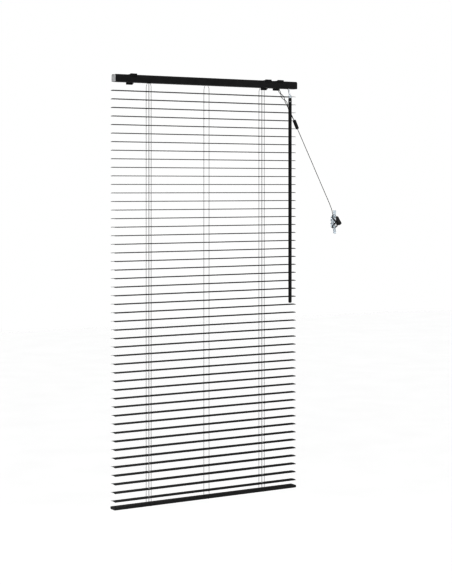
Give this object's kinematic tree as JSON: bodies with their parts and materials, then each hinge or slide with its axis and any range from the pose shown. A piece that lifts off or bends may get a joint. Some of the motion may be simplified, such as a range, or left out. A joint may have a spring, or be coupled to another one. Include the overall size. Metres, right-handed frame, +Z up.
{
  "type": "venetian blind",
  "caption": "Lowered venetian blind: a headrail in wall brackets, slats that tilt together in string ladders, a bottom rail, a tilt wand, and a pull cord wound on a wall cleat.",
  "frame": {"origin": "on the wall plane, above the middle of the slats, level with the headrail's top", "axes": "+X along the slats to the wand's side, +Y to the wall, +Z up"},
  "size_m": [0.6972, 0.0402, 1.0958],
  "materials": {
    "headrail_paint": "satin black stove enamel on steel",
    "slat_paint": "satin black coil-coated aluminium",
    "rail_paint": "satin black enamel",
    "steel": "zinc-plated",
    "black_plastic": "moulded, slightly glossy",
    "grey_plastic": "moulded, light grey",
    "clear_plastic": "clear polycarbonate with a faint blue tint",
    "cord": "braided polyester"
  },
  "bodies": {
    "headrail": {"headrail": "headrail_paint", "bracket_left": "black_plastic", "bracket_middle": "black_plastic", "bracket_right": "black_plastic", "cord_cleat": "clear_plastic", "pull_cord": "cord"},
    "tilt_rod": {"tilt_rod_with_drums": "steel"},
    "wand": {"tilt_wand": "black_plastic"},
    "slat_01": {"slat_01": "slat_paint"},
    "slat_02": {"slat_02": "slat_paint"},
    "slat_03": {"slat_03": "slat_paint"},
    "slat_04": {"slat_04": "slat_paint"},
    "slat_05": {"slat_05": "slat_paint"},
    "slat_06": {"slat_06": "slat_paint"},
    "slat_07": {"slat_07": "slat_paint"},
    "slat_08": {"slat_08": "slat_paint"},
    "slat_09": {"slat_09": "slat_paint"},
    "slat_10": {"slat_10": "slat_paint"},
    "slat_11": {"slat_11": "slat_paint"},
    "slat_12": {"slat_12": "slat_paint"},
    "slat_13": {"slat_13": "slat_paint"},
    "slat_14": {"slat_14": "slat_paint"},
    "slat_15": {"slat_15": "slat_paint"},
    "slat_16": {"slat_16": "slat_paint"},
    "slat_17": {"slat_17": "slat_paint"},
    "slat_18": {"slat_18": "slat_paint"},
    "slat_19": {"slat_19": "slat_paint"},
    "slat_20": {"slat_20": "slat_paint"},
    "slat_21": {"slat_21": "slat_paint"},
    "slat_22": {"slat_22": "slat_paint"},
    "slat_23": {"slat_23": "slat_paint"},
    "slat_24": {"slat_24": "slat_paint"},
    "slat_25": {"slat_25": "slat_paint"},
    "slat_26": {"slat_26": "slat_paint"},
    "slat_27": {"slat_27": "slat_paint"},
    "slat_28": {"slat_28": "slat_paint"},
    "slat_29": {"slat_29": "slat_paint"},
    "slat_30": {"slat_30": "slat_paint"},
    "slat_31": {"slat_31": "slat_paint"},
    "slat_32": {"slat_32": "slat_paint"},
    "slat_33": {"slat_33": "slat_paint"},
    "slat_34": {"slat_34": "slat_paint"},
    "slat_35": {"slat_35": "slat_paint"},
    "slat_36": {"slat_36": "slat_paint"},
    "slat_37": {"slat_37": "slat_paint"},
    "slat_38": {"slat_38": "slat_paint"},
    "slat_39": {"slat_39": "slat_paint"},
    "slat_40": {"slat_40": "slat_paint"},
    "slat_41": {"slat_41": "slat_paint"},
    "slat_42": {"slat_42": "slat_paint"},
    "slat_43": {"slat_43": "slat_paint"},
    "slat_44": {"slat_44": "slat_paint"},
    "slat_45": {"slat_45": "slat_paint"},
    "slat_46": {"slat_46": "slat_paint"},
    "slat_47": {"slat_47": "slat_paint"},
    "slat_48": {"slat_48": "slat_paint"},
    "slat_49": {"slat_49": "slat_paint"},
    "bottom_rail": {"bottom_rail": "rail_paint"},
    "ladder_front": {"ladder_string_front": "cord"},
    "ladder_back": {"ladder_string_back": "cord"}
  },
  "joints": [
    {"name": "wand_spin", "type": "hinge", "parent": "headrail", "child": "wand", "pos_m": [0.249, -0.036, -0.0445], "axis": [0, 0, 1], "range_deg": [-1050, 1050]},
    {"name": "tilt_rod_turn", "type": "hinge", "parent": "headrail", "child": "tilt_rod", "pos_m": [0, -0.0145, -0.01], "axis": [1, 0, 0], "range_deg": [-70, 70]},
    {"name": "slat_01_tilt", "type": "hinge", "parent": "headrail", "child": "slat_01", "pos_m": [0, -0.0145, -0.04], "axis": [1, 0, 0], "range_deg": [-70, 70]},
    {"name": "slat_02_tilt", "type": "hinge", "parent": "headrail", "child": "slat_02", "pos_m": [0, -0.0145, -0.0615], "axis": [1, 0, 0], "range_deg": [-70, 70]},
    {"name": "slat_03_tilt", "type": "hinge", "parent": "headrail", "child": "slat_03", "pos_m": [0, -0.0145, -0.083], "axis": [1, 0, 0], "range_deg": [-70, 70]},
    {"name": "slat_04_tilt", "type": "hinge", "parent": "headrail", "child": "slat_04", "pos_m": [0, -0.0145, -0.1045], "axis": [1, 0, 0], "range_deg": [-70, 70]},
    {"name": "slat_05_tilt", "type": "hinge", "parent": "headrail", "child": "slat_05", "pos_m": [0, -0.0145, -0.126], "axis": [1, 0, 0], "range_deg": [-70, 70]},
    {"name": "slat_06_tilt", "type": "hinge", "parent": "headrail", "child": "slat_06", "pos_m": [0, -0.0145, -0.1475], "axis": [1, 0, 0], "range_deg": [-70, 70]},
    {"name": "slat_07_tilt", "type": "hinge", "parent": "headrail", "child": "slat_07", "pos_m": [0, -0.0145, -0.169], "axis": [1, 0, 0], "range_deg": [-70, 70]},
    {"name": "slat_08_tilt", "type": "hinge", "parent": "headrail", "child": "slat_08", "pos_m": [0, -0.0145, -0.1905], "axis": [1, 0, 0], "range_deg": [-70, 70]},
    {"name": "slat_09_tilt", "type": "hinge", "parent": "headrail", "child": "slat_09", "pos_m": [0, -0.0145, -0.212], "axis": [1, 0, 0], "range_deg": [-70, 70]},
    {"name": "slat_10_tilt", "type": "hinge", "parent": "headrail", "child": "slat_10", "pos_m": [0, -0.0145, -0.2335], "axis": [1, 0, 0], "range_deg": [-70, 70]},
    {"name": "slat_11_tilt", "type": "hinge", "parent": "headrail", "child": "slat_11", "pos_m": [0, -0.0145, -0.255], "axis": [1, 0, 0], "range_deg": [-70, 70]},
    {"name": "slat_12_tilt", "type": "hinge", "parent": "headrail", "child": "slat_12", "pos_m": [0, -0.0145, -0.2765], "axis": [1, 0, 0], "range_deg": [-70, 70]},
    {"name": "slat_13_tilt", "type": "hinge", "parent": "headrail", "child": "slat_13", "pos_m": [0, -0.0145, -0.298], "axis": [1, 0, 0], "range_deg": [-70, 70]},
    {"name": "slat_14_tilt", "type": "hinge", "parent": "headrail", "child": "slat_14", "pos_m": [0, -0.0145, -0.3195], "axis": [1, 0, 0], "range_deg": [-70, 70]},
    {"name": "slat_15_tilt", "type": "hinge", "parent": "headrail", "child": "slat_15", "pos_m": [0, -0.0145, -0.341], "axis": [1, 0, 0], "range_deg": [-70, 70]},
    {"name": "slat_16_tilt", "type": "hinge", "parent": "headrail", "child": "slat_16", "pos_m": [0, -0.0145, -0.3625], "axis": [1, 0, 0], "range_deg": [-70, 70]},
    {"name": "slat_17_tilt", "type": "hinge", "parent": "headrail", "child": "slat_17", "pos_m": [0, -0.0145, -0.384], "axis": [1, 0, 0], "range_deg": [-70, 70]},
    {"name": "slat_18_tilt", "type": "hinge", "parent": "headrail", "child": "slat_18", "pos_m": [0, -0.0145, -0.4055], "axis": [1, 0, 0], "range_deg": [-70, 70]},
    {"name": "slat_19_tilt", "type": "hinge", "parent": "headrail", "child": "slat_19", "pos_m": [0, -0.0145, -0.427], "axis": [1, 0, 0], "range_deg": [-70, 70]},
    {"name": "slat_20_tilt", "type": "hinge", "parent": "headrail", "child": "slat_20", "pos_m": [0, -0.0145, -0.4485], "axis": [1, 0, 0], "range_deg": [-70, 70]},
    {"name": "slat_21_tilt", "type": "hinge", "parent": "headrail", "child": "slat_21", "pos_m": [0, -0.0145, -0.47], "axis": [1, 0, 0], "range_deg": [-70, 70]},
    {"name": "slat_22_tilt", "type": "hinge", "parent": "headrail", "child": "slat_22", "pos_m": [0, -0.0145, -0.4915], "axis": [1, 0, 0], "range_deg": [-70, 70]},
    {"name": "slat_23_tilt", "type": "hinge", "parent": "headrail", "child": "slat_23", "pos_m": [0, -0.0145, -0.513], "axis": [1, 0, 0], "range_deg": [-70, 70]},
    {"name": "slat_24_tilt", "type": "hinge", "parent": "headrail", "child": "slat_24", "pos_m": [0, -0.0145, -0.5345], "axis": [1, 0, 0], "range_deg": [-70, 70]},
    {"name": "slat_25_tilt", "type": "hinge", "parent": "headrail", "child": "slat_25", "pos_m": [0, -0.0145, -0.556], "axis": [1, 0, 0], "range_deg": [-70, 70]},
    {"name": "slat_26_tilt", "type": "hinge", "parent": "headrail", "child": "slat_26", "pos_m": [0, -0.0145, -0.5775], "axis": [1, 0, 0], "range_deg": [-70, 70]},
    {"name": "slat_27_tilt", "type": "hinge", "parent": "headrail", "child": "slat_27", "pos_m": [0, -0.0145, -0.599], "axis": [1, 0, 0], "range_deg": [-70, 70]},
    {"name": "slat_28_tilt", "type": "hinge", "parent": "headrail", "child": "slat_28", "pos_m": [0, -0.0145, -0.6205], "axis": [1, 0, 0], "range_deg": [-70, 70]},
    {"name": "slat_29_tilt", "type": "hinge", "parent": "headrail", "child": "slat_29", "pos_m": [0, -0.0145, -0.642], "axis": [1, 0, 0], "range_deg": [-70, 70]},
    {"name": "slat_30_tilt", "type": "hinge", "parent": "headrail", "child": "slat_30", "pos_m": [0, -0.0145, -0.6635], "axis": [1, 0, 0], "range_deg": [-70, 70]},
    {"name": "slat_31_tilt", "type": "hinge", "parent": "headrail", "child": "slat_31", "pos_m": [0, -0.0145, -0.685], "axis": [1, 0, 0], "range_deg": [-70, 70]},
    {"name": "slat_32_tilt", "type": "hinge", "parent": "headrail", "child": "slat_32", "pos_m": [0, -0.0145, -0.7065], "axis": [1, 0, 0], "range_deg": [-70, 70]},
    {"name": "slat_33_tilt", "type": "hinge", "parent": "headrail", "child": "slat_33", "pos_m": [0, -0.0145, -0.728], "axis": [1, 0, 0], "range_deg": [-70, 70]},
    {"name": "slat_34_tilt", "type": "hinge", "parent": "headrail", "child": "slat_34", "pos_m": [0, -0.0145, -0.7495], "axis": [1, 0, 0], "range_deg": [-70, 70]},
    {"name": "slat_35_tilt", "type": "hinge", "parent": "headrail", "child": "slat_35", "pos_m": [0, -0.0145, -0.771], "axis": [1, 0, 0], "range_deg": [-70, 70]},
    {"name": "slat_36_tilt", "type": "hinge", "parent": "headrail", "child": "slat_36", "pos_m": [0, -0.0145, -0.7925], "axis": [1, 0, 0], "range_deg": [-70, 70]},
    {"name": "slat_37_tilt", "type": "hinge", "parent": "headrail", "child": "slat_37", "pos_m": [0, -0.0145, -0.814], "axis": [1, 0, 0], "range_deg": [-70, 70]},
    {"name": "slat_38_tilt", "type": "hinge", "parent": "headrail", "child": "slat_38", "pos_m": [0, -0.0145, -0.8355], "axis": [1, 0, 0], "range_deg": [-70, 70]},
    {"name": "slat_39_tilt", "type": "hinge", "parent": "headrail", "child": "slat_39", "pos_m": [0, -0.0145, -0.857], "axis": [1, 0, 0], "range_deg": [-70, 70]},
    {"name": "slat_40_tilt", "type": "hinge", "parent": "headrail", "child": "slat_40", "pos_m": [0, -0.0145, -0.8785], "axis": [1, 0, 0], "range_deg": [-70, 70]},
    {"name": "slat_41_tilt", "type": "hinge", "parent": "headrail", "child": "slat_41", "pos_m": [0, -0.0145, -0.9], "axis": [1, 0, 0], "range_deg": [-70, 70]},
    {"name": "slat_42_tilt", "type": "hinge", "parent": "headrail", "child": "slat_42", "pos_m": [0, -0.0145, -0.9215], "axis": [1, 0, 0], "range_deg": [-70, 70]},
    {"name": "slat_43_tilt", "type": "hinge", "parent": "headrail", "child": "slat_43", "pos_m": [0, -0.0145, -0.943], "axis": [1, 0, 0], "range_deg": [-70, 70]},
    {"name": "slat_44_tilt", "type": "hinge", "parent": "headrail", "child": "slat_44", "pos_m": [0, -0.0145, -0.9645], "axis": [1, 0, 0], "range_deg": [-70, 70]},
    {"name": "slat_45_tilt", "type": "hinge", "parent": "headrail", "child": "slat_45", "pos_m": [0, -0.0145, -0.986], "axis": [1, 0, 0], "range_deg": [-70, 70]},
    {"name": "slat_46_tilt", "type": "hinge", "parent": "headrail", "child": "slat_46", "pos_m": [0, -0.0145, -1.0075], "axis": [1, 0, 0], "range_deg": [-70, 70]},
    {"name": "slat_47_tilt", "type": "hinge", "parent": "headrail", "child": "slat_47", "pos_m": [0, -0.0145, -1.029], "axis": [1, 0, 0], "range_deg": [-70, 70]},
    {"name": "slat_48_tilt", "type": "hinge", "parent": "headrail", "child": "slat_48", "pos_m": [0, -0.0145, -1.0505], "axis": [1, 0, 0], "range_deg": [-70, 70]},
    {"name": "slat_49_tilt", "type": "hinge", "parent": "headrail", "child": "slat_49", "pos_m": [0, -0.0145, -1.072], "axis": [1, 0, 0], "range_deg": [-70, 70]},
    {"name": "bottom_rail_tilt", "type": "hinge", "parent": "headrail", "child": "bottom_rail", "pos_m": [0, -0.0145, -1.0897], "axis": [1, 0, 0], "range_deg": [-70, 70]},
    {"name": "ladder_front_travel", "type": "hinge", "parent": "slat_01", "child": "ladder_front", "pos_m": [0, -0.0276, -0.04087], "axis": [1, 0, 0], "range_deg": [-70, 70], "deforming": ["ladder_string_front"]},
    {"name": "ladder_back_travel", "type": "hinge", "parent": "slat_01", "child": "ladder_back", "pos_m": [0, -0.0014, -0.04087], "axis": [1, 0, 0], "range_deg": [-70, 70], "deforming": ["ladder_string_back"]}
  ],
  "couplings": [
    {"joint": "tilt_rod_turn", "follows": "wand_spin", "ratio": 0.066666},
    {"joint": "slat_01_tilt", "follows": "wand_spin", "ratio": 0.066666},
    {"joint": "slat_02_tilt", "follows": "wand_spin", "ratio": 0.066666},
    {"joint": "slat_03_tilt", "follows": "wand_spin", "ratio": 0.066666},
    {"joint": "slat_04_tilt", "follows": "wand_spin", "ratio": 0.066666},
    {"joint": "slat_05_tilt", "follows": "wand_spin", "ratio": 0.066666},
    {"joint": "slat_06_tilt", "follows": "wand_spin", "ratio": 0.066666},
    {"joint": "slat_07_tilt", "follows": "wand_spin", "ratio": 0.066666},
    {"joint": "slat_08_tilt", "follows": "wand_spin", "ratio": 0.066666},
    {"joint": "slat_09_tilt", "follows": "wand_spin", "ratio": 0.066666},
    {"joint": "slat_10_tilt", "follows": "wand_spin", "ratio": 0.066666},
    {"joint": "slat_11_tilt", "follows": "wand_spin", "ratio": 0.066666},
    {"joint": "slat_12_tilt", "follows": "wand_spin", "ratio": 0.066666},
    {"joint": "slat_13_tilt", "follows": "wand_spin", "ratio": 0.066666},
    {"joint": "slat_14_tilt", "follows": "wand_spin", "ratio": 0.066666},
    {"joint": "slat_15_tilt", "follows": "wand_spin", "ratio": 0.066666},
    {"joint": "slat_16_tilt", "follows": "wand_spin", "ratio": 0.066666},
    {"joint": "slat_17_tilt", "follows": "wand_spin", "ratio": 0.066666},
    {"joint": "slat_18_tilt", "follows": "wand_spin", "ratio": 0.066666},
    {"joint": "slat_19_tilt", "follows": "wand_spin", "ratio": 0.066666},
    {"joint": "slat_20_tilt", "follows": "wand_spin", "ratio": 0.066666},
    {"joint": "slat_21_tilt", "follows": "wand_spin", "ratio": 0.066666},
    {"joint": "slat_22_tilt", "follows": "wand_spin", "ratio": 0.066666},
    {"joint": "slat_23_tilt", "follows": "wand_spin", "ratio": 0.066666},
    {"joint": "slat_24_tilt", "follows": "wand_spin", "ratio": 0.066666},
    {"joint": "slat_25_tilt", "follows": "wand_spin", "ratio": 0.066666},
    {"joint": "slat_26_tilt", "follows": "wand_spin", "ratio": 0.066666},
    {"joint": "slat_27_tilt", "follows": "wand_spin", "ratio": 0.066666},
    {"joint": "slat_28_tilt", "follows": "wand_spin", "ratio": 0.066666},
    {"joint": "slat_29_tilt", "follows": "wand_spin", "ratio": 0.066666},
    {"joint": "slat_30_tilt", "follows": "wand_spin", "ratio": 0.066666},
    {"joint": "slat_31_tilt", "follows": "wand_spin", "ratio": 0.066666},
    {"joint": "slat_32_tilt", "follows": "wand_spin", "ratio": 0.066666},
    {"joint": "slat_33_tilt", "follows": "wand_spin", "ratio": 0.066666},
    {"joint": "slat_34_tilt", "follows": "wand_spin", "ratio": 0.066666},
    {"joint": "slat_35_tilt", "follows": "wand_spin", "ratio": 0.066666},
    {"joint": "slat_36_tilt", "follows": "wand_spin", "ratio": 0.066666},
    {"joint": "slat_37_tilt", "follows": "wand_spin", "ratio": 0.066666},
    {"joint": "slat_38_tilt", "follows": "wand_spin", "ratio": 0.066666},
    {"joint": "slat_39_tilt", "follows": "wand_spin", "ratio": 0.066666},
    {"joint": "slat_40_tilt", "follows": "wand_spin", "ratio": 0.066666},
    {"joint": "slat_41_tilt", "follows": "wand_spin", "ratio": 0.066666},
    {"joint": "slat_42_tilt", "follows": "wand_spin", "ratio": 0.066666},
    {"joint": "slat_43_tilt", "follows": "wand_spin", "ratio": 0.066666},
    {"joint": "slat_44_tilt", "follows": "wand_spin", "ratio": 0.066666},
    {"joint": "slat_45_tilt", "follows": "wand_spin", "ratio": 0.066666},
    {"joint": "slat_46_tilt", "follows": "wand_spin", "ratio": 0.066666},
    {"joint": "slat_47_tilt", "follows": "wand_spin", "ratio": 0.066666},
    {"joint": "slat_48_tilt", "follows": "wand_spin", "ratio": 0.066666},
    {"joint": "slat_49_tilt", "follows": "wand_spin", "ratio": 0.066666},
    {"joint": "bottom_rail_tilt", "follows": "wand_spin", "ratio": 0.066666},
    {"joint": "ladder_front_travel", "follows": "wand_spin", "ratio": -0.066666},
    {"joint": "ladder_back_travel", "follows": "wand_spin", "ratio": -0.066666}
  ]
}
